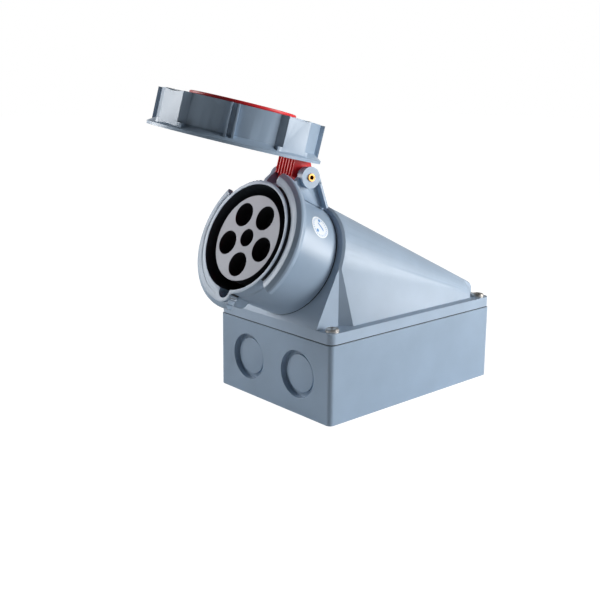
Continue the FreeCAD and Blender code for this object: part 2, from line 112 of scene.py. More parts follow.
class Value:
    """A shader socket that takes part in Python arithmetic."""

    def __init__(self, tree: bpy.types.NodeTree, socket: bpy.types.NodeSocket) -> None:
        """Keeps the socket and the tree that it belongs to.

        Args:
            tree: The material's node tree.
            socket: The output that carries the value.
        """
        self.tree = tree
        self.socket = socket

    def combine(self, operation: str, other: "Value | float" = 0.0, swapped: bool = False) -> "Value":
        """Adds one Math node.

        Args:
            operation: The node's operation.
            other: The other input, where the operation has one.
            swapped: Whether the other input comes first.

        Returns:
            The node's output.
        """
        node = self.tree.nodes.new("ShaderNodeMath")
        node.operation = operation
        for index, item in enumerate((other, self) if swapped else (self, other)):
            if isinstance(item, Value):
                self.tree.links.new(item.socket, node.inputs[index])
            else:
                node.inputs[index].default_value = item
        return Value(self.tree, node.outputs[0])

    def __add__(self, other: "Value | float") -> "Value":
        """Adds another value."""
        return self.combine("ADD", other)

    def __radd__(self, other: float) -> "Value":
        """Adds this value to a number."""
        return self.combine("ADD", other, swapped=True)

    def __sub__(self, other: "Value | float") -> "Value":
        """Takes another value away."""
        return self.combine("SUBTRACT", other)

    def __rsub__(self, other: float) -> "Value":
        """Takes this value from a number."""
        return self.combine("SUBTRACT", other, swapped=True)

    def __mul__(self, other: "Value | float") -> "Value":
        """Multiplies by another value."""
        return self.combine("MULTIPLY", other)

    def __rmul__(self, other: float) -> "Value":
        """Multiplies a number by this value."""
        return self.combine("MULTIPLY", other, swapped=True)

    def __gt__(self, limit: float) -> "Value":
        """One where the value passes the limit, zero elsewhere."""
        return self.combine("GREATER_THAN", limit)

    def at_least(self, other: "Value | float") -> "Value":
        """The larger of two values."""
        return self.combine("MAXIMUM", other)


class Nodes:
    """A node tree, and the one way in which nodes other than Math come into it."""

    def __init__(self, tree: bpy.types.NodeTree) -> None:
        """Keeps the tree.

        Args:
            tree: The tree that the nodes go to.
        """
        self.tree = tree

    def node(self, kind: str, settings: dict[str, object] | None = None, output: str = "",
             **inputs: object) -> Value:
        """Adds any node.

        Args:
            kind: The node's type name.
            settings: Its properties, set before its sockets; "stops" fills a colour ramp.
            output: The output that is returned, by identifier or name; the first where it is empty.
            **inputs: Values or links of its sockets, by identifier, or by name with _ for a blank.

        Returns:
            The chosen output.
        """
        node = self.tree.nodes.new(kind)
        for name, setting in (settings or {}).items():
            if name == "stops":
                self._fill_ramp(node.color_ramp, setting)
            else:
                setattr(node, name, setting)
        for name, item in inputs.items():
            self.fill(self._socket(node.inputs, name), item)
        return Value(self.tree, self._socket(node.outputs, output) if output else node.outputs[0])

    def fill(self, socket: bpy.types.NodeSocket, item: Value | float | Sequence[float]) -> None:
        """Links or sets one socket.

        Args:
            socket: The input.
            item: A link, a number, a vector, or a colour without its alpha.
        """
        if isinstance(item, Value):
            self.tree.links.new(item.socket, socket)
        elif socket.type == "RGBA":
            socket.default_value = (*item, 1.0)
        else:
            socket.default_value = item

    def axes(self, vector: Value) -> list[Value]:
        """Splits a vector.

        Args:
            vector: The vector.

        Returns:
            Its parts along X, Y and Z.
        """
        split = self.node("ShaderNodeSeparateXYZ", Vector=vector)
        return [Value(self.tree, socket) for socket in split.socket.node.outputs]

    @staticmethod
    def _socket(sockets: Sequence[bpy.types.NodeSocket], name: str) -> bpy.types.NodeSocket:
        """Finds a socket.

        Args:
            sockets: A node's inputs or outputs.
            name: Its identifier, or its name with _ for a blank.

        Returns:
            The socket.
        """
        exact = [socket for socket in sockets if socket.identifier == name]
        return exact[0] if exact else sockets[name.replace("_", " ")]

    @staticmethod
    def _fill_ramp(ramp: bpy.types.ColorRamp, stops: Sequence[tuple[float, float]]) -> None:
        """Sets a grey ramp's two stops.

        Args:
            ramp: The ramp.
            stops: Pairs of position and grey level.
        """
        for element, (position, grey) in zip(ramp.elements, stops):
            element.position = position
            element.color = (grey, grey, grey, 1.0)


class Finish(Nodes):
    """A material under construction: a Principled shader and the nodes that feed it."""

    def __init__(self, name: str) -> None:
        """Starts a material with one Principled shader.

        Args:
            name: The material's name.
        """
        self.material = bpy.data.materials.new(name)
        self.material.use_nodes = True
        super().__init__(self.material.node_tree)
        self.shader = next(node for node in self.tree.nodes if node.type == "BSDF_PRINCIPLED")

    def feed(self, name: str, item: Value | float | Sequence[float]) -> None:
        """Links or sets one socket of the shader, found by its name."""
        self.fill(self.shader.inputs[name], item)

    def noise(self, size: float, detail: float = 2.0,
              stretch: tuple[float, float, float] = (1, 1, 1)) -> Value:
        """A noise pattern on the object coordinates, which are the model's own metres.

        Args:
            size: The width of its spots in metres.
            detail: How many finer layers it has.
            stretch: Scale along X, Y and Z.

        Returns:
            The pattern, from zero to one.
        """
        place = self.node("ShaderNodeTexCoord", output="Object")
        spot = self.node("ShaderNodeMapping", Vector=place, Scale=stretch)
        return self.node("ShaderNodeTexNoise", Vector=spot, Scale=1.0 / size, Detail=detail)

    def rise(self, value: Value, low: float, high: float) -> Value:
        """Maps a value to zero below one level and to one above another.

        Args:
            value: The value to map.
            low: The level up to which the result is zero.
            high: The level from which it is one.

        Returns:
            The mapped value.
        """
        return self.node("ShaderNodeValToRGB", {"stops": ((low, 0.0), (high, 1.0))}, Fac=value)

    def blend(self, share: Value, first: Sequence[float] | Value, second: Sequence[float] | Value) -> Value:
        """Mixes two colours.

        Args:
            share: How much of the second shows.
            first: A colour, or a link to one.
            second: A colour, or a link to one.

        Returns:
            The mixed colour.
        """
        return self.node("ShaderNodeMix", {"data_type": "RGBA"}, "Result_Color",
                         Factor_Float=share, A_Color=first, B_Color=second)

    def bump(self, height: Value, depth: float) -> None:
        """Raises the surface by a pattern.

        Args:
            height: The pattern, from zero to one.
            depth: Its height in metres.
        """
        self.feed("Normal", self.node("ShaderNodeBump", Height=height, Distance=depth))

    @staticmethod
    def sway(pattern: Value, change: float) -> Value:
        """A pattern that runs from zero to one, made to run a change up and down round zero."""
        return (pattern - 0.5) * change


@dataclass(frozen=True)
class Moulding:
    """A moulded plastic: soft clouds, specks of dust and the fine grain of its mould."""

    name: str
    colour: Colour
    roughness: float
    specular: float = 0.45
    grain: float = 0.0007
    depth: float = 0.00001
    fine_share: float = 0.7
    coarse_share: float = 0.6
    coarse_by: float = 9.0
    clouds: float = 0.05
    cloud_size: float = 0.028
    cloud_span: tuple[float, float] = (0.3, 0.7)
    speck_by: float = 1.7
    speck_span: tuple[float, float] = (0.62, 0.78)
    speck_change: float = 0.05
    dust: float = 0.05
    dust_lift: float = 1.25
    dust_floor: float = 0.01
    flow_size: float = 0.011
    flow_stretch: tuple[float, float, float] = (1.0, 0.35, 1.0)
    flow_change: float = 0.06

    def make(self) -> Material:
        """Builds the material.

        Returns:
            The material.
        """
        finish = Finish(self.name)
        cloud = finish.rise(finish.noise(self.cloud_size, 3.0), *self.cloud_span)
        base = finish.blend(cloud, self.shade(1.0 - self.clouds), self.shade(1.0 + self.clouds))
        speck = finish.noise(self.grain * self.speck_by, 1.0)
        dust = finish.rise(speck, *self.speck_span) * self.dust
        finish.feed("Base Color", finish.blend(dust, base, self.shade(self.dust_lift, self.dust_floor)))
        flow = finish.noise(self.flow_size, 2.0, self.flow_stretch)
        finish.feed("Roughness", self.roughness + finish.sway(flow, self.flow_change)
                    + finish.sway(speck, self.speck_change))
        finish.feed("Specular IOR Level", self.specular)
        fine, coarse = finish.noise(self.grain), finish.noise(self.grain * self.coarse_by, 1.0)
        finish.bump(fine * self.fine_share + coarse * self.coarse_share, self.depth)
        return finish.material

    def shade(self, factor: float, lift: float = 0.0) -> Colour:
        """The plastic's colour, made lighter or darker."""
        return tuple(min(1.0, part * factor + lift) for part in self.colour)


@dataclass(frozen=True)
class Metal:
    """A turned or rolled metal with fine lines and a little tarnish."""

    name: str
    colour: Colour
    tarnish: Colour
    roughness: float
    patch_size: float = 0.0021
    patch_span: tuple[float, float] = (0.45, 0.75)
    patch_share: float = 0.6
    patch_dulls: float = 0.18
    line_width: float = 0.0002
    line_stretch: tuple[float, float, float] = (1.0, 1.0, 8.0)
    line_change: float = 0.16
    line_depth: float = 0.00001

    def make(self) -> Material:
        """Builds the material.

        Returns:
            The material.
        """
        finish = Finish(self.name)
        patch = finish.rise(finish.noise(self.patch_size, 3.0), *self.patch_span)
        lines = finish.noise(self.line_width, 1.0, self.line_stretch)
        finish.feed("Base Color", finish.blend(patch * self.patch_share, self.colour, self.tarnish))
        finish.feed("Metallic", 1.0)
        finish.feed("Roughness", self.roughness + patch * self.patch_dulls
                    + finish.sway(lines, self.line_change))
        finish.bump(lines, self.line_depth)
        return finish.material


@dataclass(frozen=True)
class Elastomer:
    """A soft black rubber with a dusty bloom."""

    name: str
    colour: Colour
    roughness: float = 0.62
    bloom_size: float = 0.004
    bloom_span: tuple[float, float] = (0.4, 0.8)
    bloom_share: float = 0.5
    bloom_lift: float = 2.5
    bloom_floor: float = 0.01
    bloom_dulls: float = 0.2
    grain: float = 0.0004
    depth: float = 0.00002

    def make(self) -> Material:
        """Builds the material.

        Returns:
            The material.
        """
        finish = Finish(self.name)
        bloom = finish.rise(finish.noise(self.bloom_size, 4.0), *self.bloom_span)
        dusty = tuple(part * self.bloom_lift + self.bloom_floor for part in self.colour)
        finish.feed("Base Color", finish.blend(bloom * self.bloom_share, self.colour, dusty))
        finish.feed("Roughness", self.roughness + bloom * self.bloom_dulls)
        finish.bump(finish.noise(self.grain), self.depth)
        return finish.material


@dataclass(frozen=True)
class Label:
    """A plain round sticker: white ground, a ring of fine blue marks, two dots and a bar.

    Its sizes are shares of the sticker's own UV map, whose middle is at 0.5.
    """

    name: str
    uv_map: str
    paper: Colour = (0.84, 0.88, 0.92)
    ink: Colour = (0.06, 0.27, 0.62)
    ink_share: float = 0.9
    roughness: float = 0.32
    grain: float = 0.0003
    grain_dulls: float = 0.1
    depth: float = 0.00001
    marks: float = 24.0
    mark_from: float = -0.2
    ring_at: float = 0.4
    ring_half: float = 0.045
    ring_share: float = 0.5
    dots: tuple[tuple[float, float], ...] = ((0.31, 0.0), (-0.22, -0.17))
    dot_radius: float = 0.075
    bar_slope: float = 0.9
    bar_at: float = 0.08
    bar_half: float = 0.05
    bar_middle: float = 0.05
    bar_reach: float = 0.15

    def make(self) -> Material:
        """Builds the material.

        Returns:
            The material.
        """
        finish = Finish(self.name)
        place = finish.axes(finish.node("ShaderNodeUVMap", {"uv_map": self.uv_map}))
        across, along = place[0] - 0.5, place[1] - 0.5
        dashes = (across.combine("ARCTAN2", along) * self.marks).combine("SINE") > self.mark_from
        ink = self.near(self.length(across, along), self.ring_at, self.ring_half) * dashes * self.ring_share
        for x, y in self.dots:
            ink = ink.at_least(self.near(self.length(across - x, along - y), 0.0, self.dot_radius))
        slant = self.near(across + along * self.bar_slope, self.bar_at, self.bar_half)
        ink = ink.at_least(slant * self.near(along, self.bar_middle, self.bar_reach))
        paper = finish.noise(self.grain)
        finish.feed("Base Color", finish.blend(ink * self.ink_share, self.paper, self.ink))
        finish.feed("Roughness", self.roughness + paper * self.grain_dulls)
        finish.bump(paper, self.depth)
        return finish.material

    @staticmethod
    def length(x: Value, y: Value) -> Value:
        """The length of a plane vector."""
        return (x * x + y * y).combine("POWER", 0.5)

    @staticmethod
    def near(value: Value, middle: float, reach: float) -> Value:
        """One where a value lies within reach of a middle, zero elsewhere."""
        return 1.0 - ((value - middle).combine("ABSOLUTE") > reach)


@dataclass(frozen=True)
class Palette:
    """All finishes of the socket: one for each slot, under its name, a lighter grey as painted light on the
    hood, and a near black as painted shade in recesses.
    """

    grey: Moulding = Moulding("grey_moulding", (0.305, 0.4, 0.515), 0.33)
    # A lighter copy of the grey, as painted light
    pale: Moulding = Moulding("painted_light_grey_moulding", (0.36, 0.455, 0.57), 0.4, specular=0.38)
    # A near black, as painted shade in grooves and inside the mouth
    dark: Moulding = Moulding("painted_shade_moulding", (0.03, 0.036, 0.045), 0.45)
    red: Moulding = Moulding("red_moulding", (0.76, 0.024, 0.03), 0.32, grain=0.0005, depth=0.000006,
                             specular=0.3)
    black: Moulding = Moulding("black_moulding", (0.02, 0.021, 0.024), 0.45)
    face: Moulding = Moulding("face_moulding", (0.38, 0.405, 0.465), 0.5, clouds=0.08)
    rubber: Elastomer = Elastomer("rubber", (0.014, 0.014, 0.015))
    brass: Metal = Metal("brass", (0.5, 0.26, 0.085), (0.26, 0.12, 0.04), 0.42)
    steel: Metal = Metal("steel", (0.62, 0.6, 0.57), (0.42, 0.38, 0.33), 0.3)

    def materials(self) -> dict[Slot, Material]:
        """Builds one material a slot.

        Returns:
            The materials by slot.
        """
        return {slot: getattr(self, slot.name.lower()).make() for slot in Slot}


@dataclass
class SubAssembly:
    """Shared ways to make, shape and dress pieces."""

    nodes: dict[str, Object]
    finishes: dict[Slot, Material]
    body: Body = Body.BASE

    def keep(self, slot: Slot, *names: str) -> None:
        """Dresses CAD nodes whose own shape is right.

        Args:
            slot: The finish.
            *names: The nodes.
        """
        for name in names:
            mesh = self.nodes[name].data
            mesh.materials.clear()
            mesh.materials.append(self.finishes[slot])

    def piece(self, name: str, shape: BMesh, slot: Slot, place: Matrix | None = None) -> Object:
        """Turns a bmesh into a dressed piece that rides on the body.

        Args:
            name: The piece's name.
            shape: The bmesh, which is freed.
            slot: Its finish.
            place: Where it goes, baked into the mesh.

        Returns:
            The new object.
        """
        if place is not None:
            self.moved(shape, place)
        mesh = bpy.data.meshes.new(name)
        shape.to_mesh(mesh)
        shape.free()
        mesh.shade_smooth()
        mesh.set_sharp_from_angle(angle=SHARP)
        thing = bpy.data.objects.new(name, mesh)
        bpy.context.scene.collection.objects.link(thing)
        mesh.materials.append(self.finishes[slot])
        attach(thing, self.body.value)
        return thing

    def softened(self, node: str, slot: Slot, edge: float, segments: int = 2,
                 cutters: Sequence[BMesh] = ()) -> Object:
        """Stands in for a CAD node with the same form, fine cuts and rounded edges.

        Args:
            node: The CAD node.
            slot: Its finish.
            edge: The width of the rounding.
            segments: The steps of the rounding.
            cutters: Shapes to cut out of it first, which are freed.

        Returns:
            The new object.
        """
        shape = bmesh.new()
        shape.from_mesh(self.nodes[node].data)
        bmesh.ops.remove_doubles(shape, verts=shape.verts, dist=MERGE)
        bmesh.ops.dissolve_limit(shape, angle_limit=FLAT, verts=shape.verts, edges=shape.edges)
        thing = self.piece(node + "_shell", shape, slot)
        for cutter in cutters:
            self.carve(thing, cutter)
        self.round_edges(thing, edge, segments)
        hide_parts(node)
        return thing

    @staticmethod
    def round_edges(thing: Object, edge: float, segments: int) -> None:
        """Adds a bevel to a piece's sharp edges.

        Args:
            thing: The piece.
            edge: The bevel's width.
            segments: Its steps.
        """
        bevel = thing.modifiers.new("rounded", "BEVEL")
        bevel.width = edge
        bevel.segments = segments
        bevel.limit_method = "ANGLE"
        bevel.angle_limit = SHARP
        bevel.use_clamp_overlap = True
        bevel.harden_normals = True

    @staticmethod
    def turned(outline: Sequence[tuple[float, float]], steps: int, rounding: float = 0.0) -> BMesh:
        """Spins a closed outline round Z.

        Args:
            outline: Points of radius and height.
            steps: The steps of a full turn.
            rounding: The radius of the outline's corners.

        Returns:
            The closed shape.
        """
        shape = bmesh.new()
        corners = [shape.verts.new((radius, 0.0, height)) for radius, height in outline]
        shape.faces.new(corners)
        if rounding > 0:
            loose = [corner for corner in corners if corner.co.x > MERGE]
            bmesh.ops.bevel(shape, geom=loose, offset=rounding, segments=4, profile=0.5, affect="VERTICES",
                            clamp_overlap=True, material=-1)
        bmesh.ops.delete(shape, geom=shape.faces[:], context="FACES_ONLY")
        bmesh.ops.spin(shape, geom=shape.verts[:] + shape.edges[:], cent=(0, 0, 0), axis=(0, 0, 1),
                       angle=math.tau, steps=steps, use_merge=True, use_duplicate=False)
        bmesh.ops.remove_doubles(shape, verts=shape.verts, dist=MERGE)
        bmesh.ops.recalc_face_normals(shape, faces=shape.faces)
        return shape

    @staticmethod
    def bar(size: Vector, at: Vector, edge: float = 0.0) -> BMesh:
        """A block with rounded edges.

        Args:
            size: Its three sides.
            at: Its middle.
            edge: The rounding.

        Returns:
            The block.
        """
        shape = bmesh.new()
        bmesh.ops.create_cube(shape, size=1.0)
        bmesh.ops.scale(shape, vec=size, verts=shape.verts)
        bmesh.ops.translate(shape, vec=at, verts=shape.verts)
        if edge > 0:
            bmesh.ops.bevel(shape, geom=shape.edges[:], offset=edge, segments=2, profile=0.5, affect="EDGES",
                            clamp_overlap=True, material=-1)
        return shape

    @staticmethod
    def prism(outline: Sequence[tuple[float, float]], low: float, high: float) -> BMesh:
        """Pushes a flat outline up along Z.

        Args:
            outline: Points of X and Y.
            low: Where it starts.
            high: Where it ends.

        Returns:
            The closed shape.
        """
        shape = bmesh.new()
        base = shape.faces.new([shape.verts.new((x, y, low)) for x, y in outline])
        grown = bmesh.ops.extrude_face_region(shape, geom=[base], use_keep_orig=True)
        tops = [item for item in grown["geom"] if isinstance(item, bmesh.types.BMVert)]
        bmesh.ops.translate(shape, vec=(0, 0, high - low), verts=tops)
        bmesh.ops.recalc_face_normals(shape, faces=shape.faces)
        return shape

    @staticmethod
    def join(target: BMesh, extra: BMesh) -> None:
        """Adds one shape to another.

        Args:
            target: The shape that grows.
            extra: The shape that is added and freed.
        """
        mesh = bpy.data.meshes.new("joined")
        extra.to_mesh(mesh)
        extra.free()
        target.from_mesh(mesh)
        bpy.data.meshes.remove(mesh)

    @staticmethod
    def moved(shape: BMesh, place: Matrix) -> BMesh:
        """Takes a shape to its place.

        Args:
            shape: The shape.
            place: Where it goes.

        Returns:
            The same shape.
        """
        bmesh.ops.transform(shape, matrix=place, verts=shape.verts)
        return shape

    @staticmethod
    def carve(thing: Object, cutter: BMesh) -> None:
        """Cuts a shape out of a piece for good.

        Args:
            thing: The piece.
            cutter: The shape to cut, which is freed.
        """
        mesh = bpy.data.meshes.new("cutter")
        cutter.to_mesh(mesh)
        cutter.free()
        tool = bpy.data.objects.new("cutter", mesh)
        bpy.context.scene.collection.objects.link(tool)
        cut = thing.modifiers.new("carved", "BOOLEAN")
        cut.object = tool
        cut.operation = "DIFFERENCE"
        cut.solver = "EXACT"
        graph = bpy.context.evaluated_depsgraph_get()
        carved = bpy.data.meshes.new_from_object(thing.evaluated_get(graph), depsgraph=graph)
        thing.modifiers.remove(cut)
        old = thing.data
        thing.data = carved
        bpy.data.meshes.remove(old)
        bpy.data.objects.remove(tool)
        bpy.data.meshes.remove(mesh)
        carved.shade_smooth()
        carved.set_sharp_from_angle(angle=SHARP)


@dataclass
class BackBox(SubAssembly):
    """The deep box on the wall with its seal and bushes."""

    edge: float = 0.0006
    edge_steps: int = 3
    knockout_x: float = 0.026
    knockout_z: float = 0.0278
    knockout_depth: float = 0.0045
    disc_radius: float = 0.0131
    disc_rise: float = 0.0018
    disc_sink: float = 0.0004
    disc_round: float = 0.0004
    disc_steps: int = 64

    def build(self) -> None:
        """Makes and dresses the box."""
        self.softened("back_box", Slot.GREY, self.edge, self.edge_steps)
        self.knockout_discs()
        self.keep(Slot.RUBBER, "box_gasket")
        self.keep(Slot.BRASS, "corner_inserts")

    def knockout_discs(self) -> None:
        """Raises the plain disc in the middle of each cable knock-out."""
        low, high, radius = -self.disc_sink, self.disc_rise, self.disc_radius
        outline = [(0.0, low), (radius, low), (radius, high), (0.0, high)]
        shape = bmesh.new()
        for side in (-1, 1):
            for x in (-self.knockout_x, self.knockout_x):
                floor = Vector((x, side * (HALF_LENGTH - self.knockout_depth), self.knockout_z))
                place = Matrix.Translation(floor) @ Matrix.Rotation(-side * math.pi / 2, 4, "X")
                disc = self.turned(outline, self.disc_steps, self.disc_round)
                self.join(shape, self.moved(disc, place))
        self.piece("knockout_discs", shape, Slot.GREY)


@dataclass
class Hood(SubAssembly):
    """The sloping hood and its four cover screws."""

    edge: float = 0.0005

    # The seam groove; painted shade darkens its faces past this share of the box's half width or length
    corner: float = 0.005
    corner_steps: int = 10
    groove_deep: float = 0.0014
    groove_high: float = 0.0008
    painted_shade_from: float = 0.96

    # The screws, the angles in degrees that they were tightened to, and their heads' curve in
    # shares of the radius and the height
    screw_x: float = 0.0522
    screw_y: float = 0.0768
    flange_top: float = 0.062
    screw_turns: tuple[float, ...] = (63.0, 39.0, 1.0, -23.0)
    head_radius: float = 0.0047
    head_height: float = 0.0026
    head_curve: tuple[tuple[float, float], ...] = ((1.0, 0.0), (1.0, 0.45), (0.86, 0.8), (0.5, 0.97),
                                                   (0.0, 1.0))
    head_steps: int = 32
    shank: float = 0.002
    shank_length: float = 0.016
    slot_length: float = 0.0058
    slot_width: float = 0.0011
    slot_depth: float = 0.0014

    def build(self) -> None:
        """Makes the hood and its screws, gives the hood a lighter grey as painted light, and paints shade
        inside the seam groove.
        """
        shell = self.softened("hood", Slot.GREY, self.edge, cutters=[self.seam_groove()])
        # A lighter copy of the box's grey paints light on the hood, and a near black paints shade in the seam
        # groove
        shell.data.materials[0] = Palette.pale.make()
        shell.data.materials.append(Palette.dark.make())
        for face in shell.data.polygons:
            heights = [shell.data.vertices[index].co.z for index in face.vertices]
            outside = max(abs(face.center.x) / HALF_WIDTH, abs(face.center.y) / HALF_LENGTH)
            face.material_index = int(max(heights) < SEAM + self.groove_high + SLACK
                                      and outside > self.painted_shade_from)
        self.screws()

    def seam_groove(self) -> BMesh:
        """The fine groove that runs round the foot of the flange, as a cutter.

        Returns:
            The cutter, a flat frame with round corners.
        """
        shape = bmesh.new()
        wide, long = HALF_WIDTH + MM, HALF_LENGTH + MM
        corners = [shape.verts.new((x * wide, y * long, SEAM - MM))
                   for x, y in ((1, 1), (-1, 1), (-1, -1), (1, -1))]
        shape.faces.new(corners)
        bmesh.ops.bevel(shape, geom=corners, offset=self.corner + MM, segments=self.corner_steps, profile=0.5,
                        affect="VERTICES", clamp_overlap=True, material=-1)
        inner = bmesh.ops.inset_region(shape, faces=shape.faces[:], thickness=MM + self.groove_deep,
                                       use_boundary=True, use_even_offset=True)
        middle = [face for face in shape.faces if face not in inner["faces"]]
        bmesh.ops.delete(shape, geom=middle, context="FACES")
        grown = bmesh.ops.extrude_face_region(shape, geom=shape.faces[:], use_keep_orig=True)
        tops = [item for item in grown["geom"] if isinstance(item, bmesh.types.BMVert)]
        bmesh.ops.translate(shape, vec=(0, 0, MM + self.groove_high), verts=tops)
        bmesh.ops.recalc_face_normals(shape, faces=shape.faces)
        return shape

    def screws(self) -> None:
        """Makes the four cross-slot screws."""
        shape = bmesh.new()
        for (x, y), degrees in zip(((1, 1), (1, -1), (-1, 1), (-1, -1)), self.screw_turns):
            place = Matrix.Translation((x * self.screw_x, y * self.screw_y, self.flange_top))
            turn = Matrix.Rotation(math.radians(degrees), 4, "Z")
            self.join(shape, self.moved(self.screw(), place @ turn))
        thing = self.piece("cover_screw_heads", shape, Slot.STEEL)
        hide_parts("cover_screws")

    def screw(self) -> BMesh:
        """Turns one screw and cuts its cross.

        Returns:
            The screw, head upwards at Z zero.
        """
        radius, top = self.head_radius, self.head_height
        outline = [(0.0, -self.shank_length), (self.shank, -self.shank_length), (self.shank, 0.0)]
        outline += [(radius * across, top * up) for across, up in self.head_curve]
        blank = self.piece("screw_blank", self.turned(outline, self.head_steps), Slot.STEEL)
        for size in ((self.slot_length, self.slot_width), (self.slot_width, self.slot_length)):
            self.carve(blank, self.bar(Vector((*size, self.slot_depth * 2)), Vector((0, 0, top))))
        shape = bmesh.new()
        shape.from_mesh(blank.data)
        bpy.data.objects.remove(blank)
        return shape


@dataclass
class Barrel(SubAssembly):
    """The mouth with its segments, ears and sticker, and what sits in it."""

    edge: float = 0.0004
    radius: float = 0.040
    round_steps: int = 96

    # The reach within which the inside of the mouth is painted dark as shade, and the rim, whose corners turn
    # by more than rim_turn
    painted_shade_reach: float = 0.0369
    rim_front: float = 0.00285
    rim_round: float = 0.0009
    rim_steps: int = 4
    rim_turn: float = 1.0
    rim_sharp: float = math.radians(40.0)

    # The segments' slope, and the stepped cuts by the keyway: the angle from it in degrees,
    # the width, and the radius from which the cut goes out
    segment_front: float = 0.0015
    segment_outer: float = 0.0487
    chamfer: float = 0.0032
    chamfer_fall: float = 0.002
    stubs: tuple[tuple[float, float, float], ...] = ((12.2, 0.0036, 0.04005), (11.0, 0.0048, 0.0426),
                                                     (10.0, 0.0066, 0.0456))
    stub_deep: float = 0.01
    stub_high: float = 0.009

    # The groove between rim and segments, whose faces are painted dark as shade
    groove_inner: float = 0.0390
    groove_outer: float = 0.0422
    groove_floor: float = -0.0032
    groove_top: float = 0.0

    # The web that fills it on the left and the lip that narrows it on the right, in degrees round the axis
    web_low: float = -0.0028
    web_high: float = 0.0013
    web_from: float = 141.0
    web_span: float = 117.0
    web_steps: int = 48
    lip_inner: float = 0.0405
    lip_from: float = -39.0
    lip_span: float = 113.0

    # Cosines that tell a face that looks in at the axis, and one that stands along it
    inward: float = -0.5
    side_on: float = 0.5
    plate_edge: float = 0.0003

    # Short ribs on the rim, at these angles in degrees, and the rib up the right ear
    rim_rib_angles: tuple[float, ...] = (97.0, 102.0, 107.0, 112.0, 117.0)
    rim_rib_size: tuple[float, float, float] = (0.001, 0.0014, 0.0024)
    rim_rib_edge: float = 0.0002
    rim_rib_reach: float = 0.0396
    rim_rib_front: float = 0.0006
    ear_rib_size: tuple[float, float, float] = (0.0072, 0.0018, 0.0072)
    ear_rib_edge: float = 0.0003
    ear_rib_lean: float = math.radians(44.0)
    ear_rib_at: tuple[float, float, float] = (0.016, 0.0536, -0.0261)

    # The sticker, sticker_turn degrees round the barrel
    sticker_radius: float = 0.0078
    sticker_turn: float = 33.1
    sticker_back: float = -0.0277
    sticker_lift: float = 0.00012
    sticker_steps: int = 48
    sticker_slices: int = 12

    def build(self) -> None:
        """Makes and dresses the barrel."""
        self.shell()
        self.face()
        self.keep(Slot.RUBBER, "barrel_gasket")
        self.keep(Slot.BLACK, "contact_carrier")
        self.keep(Slot.BRASS, "hinge_pin", "earth_contact", "neutral_contact", "phase_contact_1",
                  "phase_contact_2", "phase_contact_3", "pilot_contact")
        self.keep(Slot.STEEL, "barrel_screws")
        self.ear_rib_top()
        self.rim_ribs()
        self.groove_filler("segment_web", self.groove_inner, self.web_from, self.web_span)
        self.groove_filler("segment_lip", self.lip_inner, self.lip_from, self.lip_span)
        self.sticker()

    def ear_rib_top(self) -> None:
        """Runs the right ear's rear rib on until it meets the hinge boss."""
        rib = self.bar(Vector(self.ear_rib_size), Vector((0, 0, 0)), self.ear_rib_edge)
        place = BARREL @ Matrix.Translation(self.ear_rib_at) @ Matrix.Rotation(-self.ear_rib_lean, 4, "X")
        self.piece("ear_rib_top", rib, Slot.GREY, place)

    def shell(self) -> None:
        """Shapes the barrel: chamfered segments and a round rim, with painted shade in the groove and inside
        the mouth.
        """
        front, outer, low = self.segment_front, self.segment_outer, self.segment_front - self.chamfer_fall
        cone = [(outer - self.chamfer, front), (outer - self.chamfer, front + MM), (outer + MM, front + MM),
                (outer + MM, low), (outer, low)]
        cutters = [self.moved(self.turned(cone, self.round_steps), BARREL)]
        for degrees, wide, reach in self.stubs:
            size = Vector((wide, self.stub_deep, self.stub_high))
            stub = self.bar(size, Vector((0, -reach - self.stub_deep / 2, 0)))
            cutters.append(self.moved(stub, BARREL @ Matrix.Rotation(math.radians(degrees), 4, "Z")))
        shell = self.softened("barrel", Slot.GREY, self.edge, cutters=cutters)
        self.round_rim(shell)
        # A near black paints shade inside the mouth and in the groove behind the rim
        shell.data.materials.append(Palette.dark.make())
        back = BARREL.inverted()
        points = [back @ vert.co for vert in shell.data.vertices]
        for face in shell.data.polygons:
            corners = [points[index] for index in face.vertices]
            reach = [math.hypot(corner.x, corner.y) for corner in corners]
            floor = min(corner.z for corner in corners)
            # Painted shade: faces deep inside the mouth, and groove faces that don't look at the axis
            lining = max(reach) < self.painted_shade_reach and floor < self.groove_top
            groove = (self.groove_inner < min(reach) and max(reach) < self.groove_outer
                      and self.groove_floor < floor < self.groove_top and not self.faces_axis(face, back))
            face.material_index = int(lining or groove)

    def faces_axis(self, face: bpy.types.MeshPolygon, back: Matrix) -> bool:
        """Tells whether a face looks in at the barrel's axis.

        Args:
            face: The face.
            back: The way from the model's frame to the barrel's.

        Returns:
            True where it looks inwards.
        """
        middle, normal = back @ face.center, back.to_3x3() @ face.normal
        return middle.xy.normalized().dot(normal.xy) < self.inward

    def groove_filler(self, name: str, inner: float, start: float, span: float) -> None:
        """Fills the groove behind a segment, as a web or, where it starts further out, as a lip.

        Args:
            name: The piece's name.
            inner: Its inner radius.
            start: The angle in degrees at which it starts.
            span: The degrees that it covers.
        """
        shape = bmesh.new()
        low, high, outer = self.web_low, self.web_high, self.groove_outer
        corners = [(inner, low), (outer, low), (outer, high), (inner, high)]
        face = shape.faces.new([shape.verts.new((reach, 0, height)) for reach, height in corners])
        bmesh.ops.spin(shape, geom=[face], cent=(0, 0, 0), axis=(0, 0, 1), angle=math.radians(span),
                       steps=self.web_steps, use_merge=False, use_duplicate=False)
        bmesh.ops.recalc_face_normals(shape, faces=shape.faces)
        self.piece(name, shape, Slot.GREY, BARREL @ Matrix.Rotation(math.radians(start), 4, "Z"))

    def rim_ribs(self) -> None:
        """Sets the short dark ribs on the top of the rim."""
        shape = bmesh.new()
        at = Vector((self.rim_rib_reach, 0, self.rim_rib_front))
        for degrees in self.rim_rib_angles:
            rib = self.bar(Vector(self.rim_rib_size), at, self.rim_rib_edge)
            self.join(shape, self.moved(rib, Matrix.Rotation(math.radians(degrees), 4, "Z")))
        self.piece("rim_ribs", shape, Slot.BLACK, BARREL)

